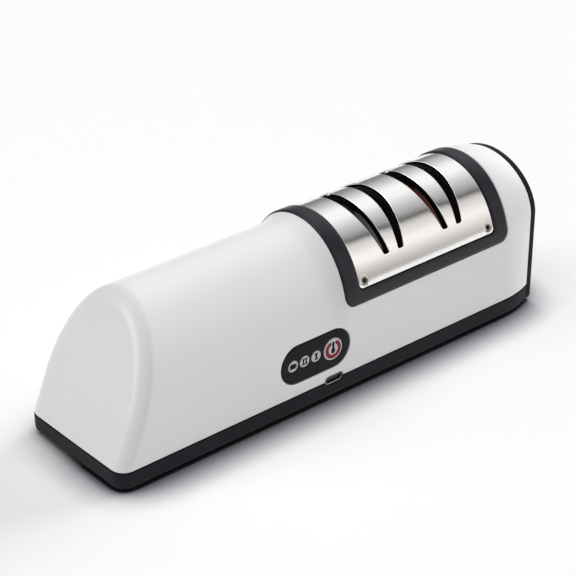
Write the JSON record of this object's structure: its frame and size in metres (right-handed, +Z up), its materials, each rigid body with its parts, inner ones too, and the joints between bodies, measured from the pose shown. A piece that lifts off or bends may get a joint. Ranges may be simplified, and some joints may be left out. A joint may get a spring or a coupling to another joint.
{
  "type": "electric knife sharpener",
  "caption": "Cordless electric knife sharpener: a long white housing on a dark base, with a slotted steel saddle over grinding wheels and a power button on its side.",
  "frame": {"origin": "middle of the length and width, on the surface that the feet stand on", "axes": "+X along the housing from the slanted end to the flat end, +Z up, and the control panel faces -Y"},
  "size_m": [0.224, 0.0606, 0.0687],
  "materials": {
    "white_shell": "satin moulded",
    "black_base": "fine matte",
    "charcoal_frame": "satin",
    "steel_cover": "brushed",
    "black_guide": "matte",
    "panel_gloss": "semi gloss",
    "button_grey": "satin",
    "led_white": "frosted",
    "circuit_board": "solder mask",
    "socket_steel": "plated",
    "motor_steel": "zinc plated",
    "screw_steel": "plated",
    "bronze_bush": "sintered",
    "cell_wrap": "shrink wrap",
    "grey_plastic": "moulded",
    "coarse_grit": "coarse abrasive",
    "fine_grit": "fine abrasive",
    "foot_rubber": "matte"
  },
  "bodies": {
    "housing": {"upper_shell": "white_shell", "base_tray": "black_base", "end_cap": "black_base", "saddle_bezel": "charcoal_frame", "cover_plate": "steel_cover", "guide_block": "black_guide", "cover_screw_1": "screw_steel", "cover_screw_2": "screw_steel", "cover_screw_3": "screw_steel", "cover_screw_4": "screw_steel", "housing_screw_1": "screw_steel", "housing_screw_2": "screw_steel", "housing_screw_3": "screw_steel", "housing_screw_4": "screw_steel", "foot_1": "foot_rubber", "foot_2": "foot_rubber", "foot_3": "foot_rubber", "foot_4": "foot_rubber", "control_panel": "panel_gloss", "control_board": "circuit_board", "charge_board": "circuit_board", "usb_socket": "socket_steel", "usb_tongue": "black_guide", "tact_switch": "black_guide", "indicator_lens_1": "button_grey", "indicator_led_1": "led_white", "indicator_lens_2": "button_grey", "indicator_led_2": "led_white", "indicator_lens_3": "button_grey", "indicator_led_3": "led_white", "motor_can": "motor_steel", "motor_end_bell": "black_guide", "left_bracket": "black_guide", "left_bush": "bronze_bush", "right_bracket": "black_guide", "right_bush": "bronze_bush", "motor_cradle": "black_guide", "motor_strap": "motor_steel", "battery_bed": "black_guide", "battery_cell": "cell_wrap"},
    "spindle": {"spindle_shaft": "motor_steel", "motor_shaft": "motor_steel", "shaft_coupler": "bronze_bush", "wheel_spacer": "grey_plastic", "fine_wheel": "fine_grit", "fine_hub": "grey_plastic", "fine_washer": "motor_steel", "coarse_wheel": "coarse_grit", "coarse_hub": "grey_plastic", "coarse_washer": "motor_steel"},
    "power_button": {"power_button": "button_grey", "switch_plunger": "black_guide"}
  },
  "joints": [
    {"name": "spindle_spin", "type": "hinge", "parent": "housing", "child": "spindle", "pos_m": [0.04649, 0, 0.0393], "axis": [1, 0, 0], "continuous": true},
    {"name": "power_button_press", "type": "slide", "parent": "housing", "child": "power_button", "axis": [0, 1, 0], "range_m": [0, 0.0006], "stiffness_N_per_m": 2000, "springref_m": -0.0002}
  ]
}
